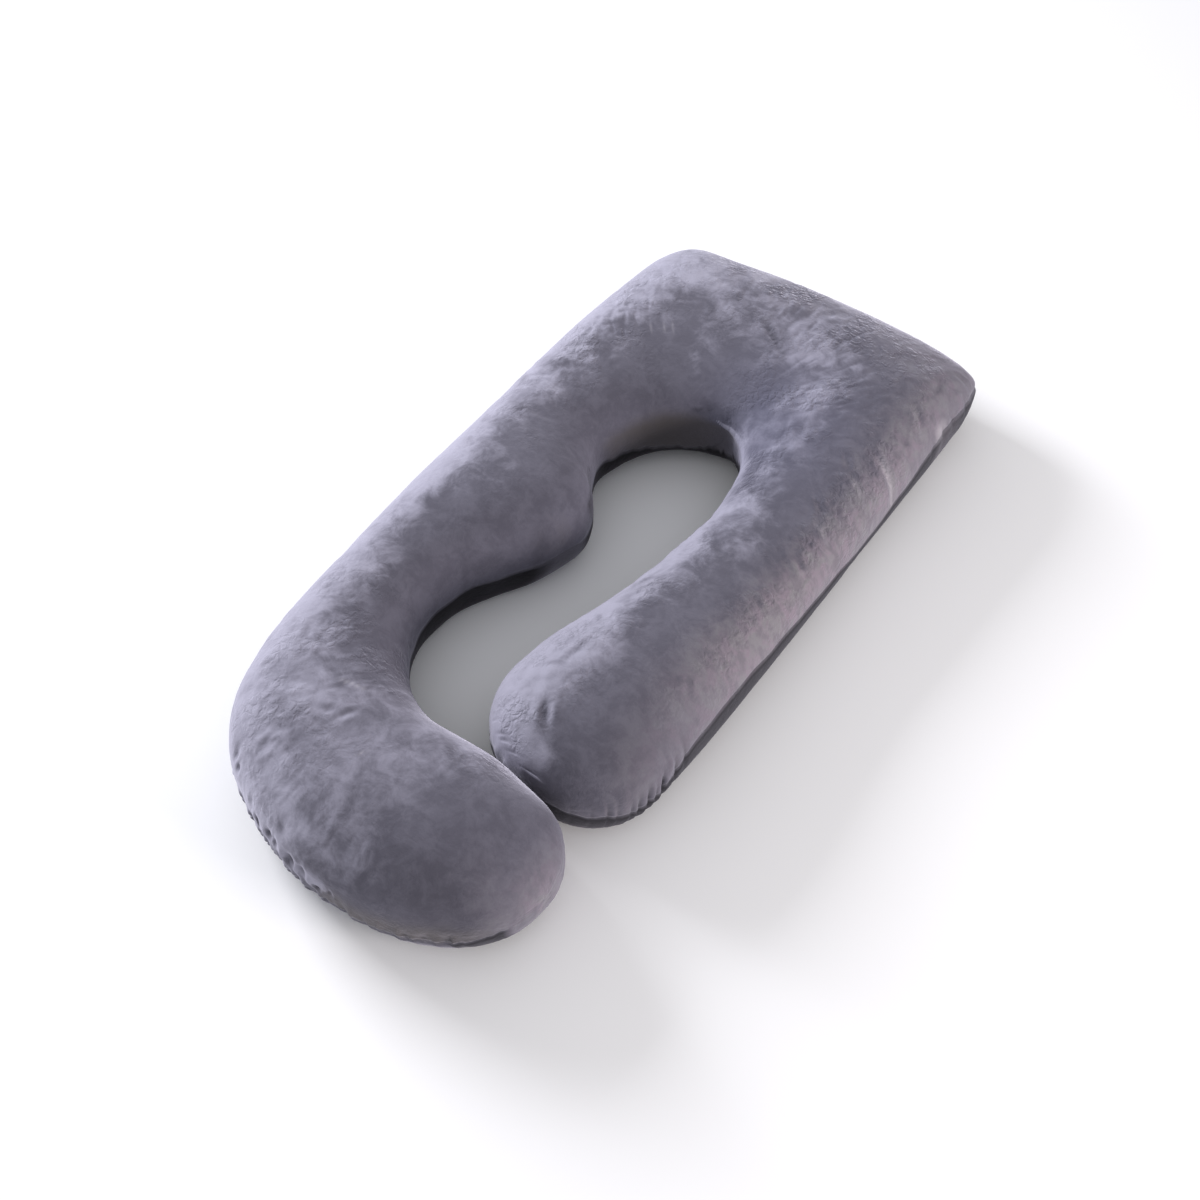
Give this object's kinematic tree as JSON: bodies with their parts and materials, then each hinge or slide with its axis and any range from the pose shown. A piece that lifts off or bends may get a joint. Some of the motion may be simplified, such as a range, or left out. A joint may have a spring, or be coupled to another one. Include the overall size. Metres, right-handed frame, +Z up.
{
  "type": "body pillow",
  "caption": "Hooked, U-shaped body pillow in velvet: a straight arm, a broad head and a hooked arm, filled and sewn round its edge, to lie inside or against.",
  "frame": {"origin": "on the floor, under the middle of the pillow's overall length and width, in the gap between the arms", "axes": "+Y runs along the length towards the closed head end, +X runs across from the hooked arm to the straight arm, +Z is up from the floor"},
  "size_m": [0.7018, 1.5148, 0.2082],
  "materials": {
    "velvet": "short-pile velvet, grey-mauve, matt with a soft sheen at the edges"
  },
  "bodies": {
    "root": {"pillow": "velvet"}
  },
  "joints": []
}
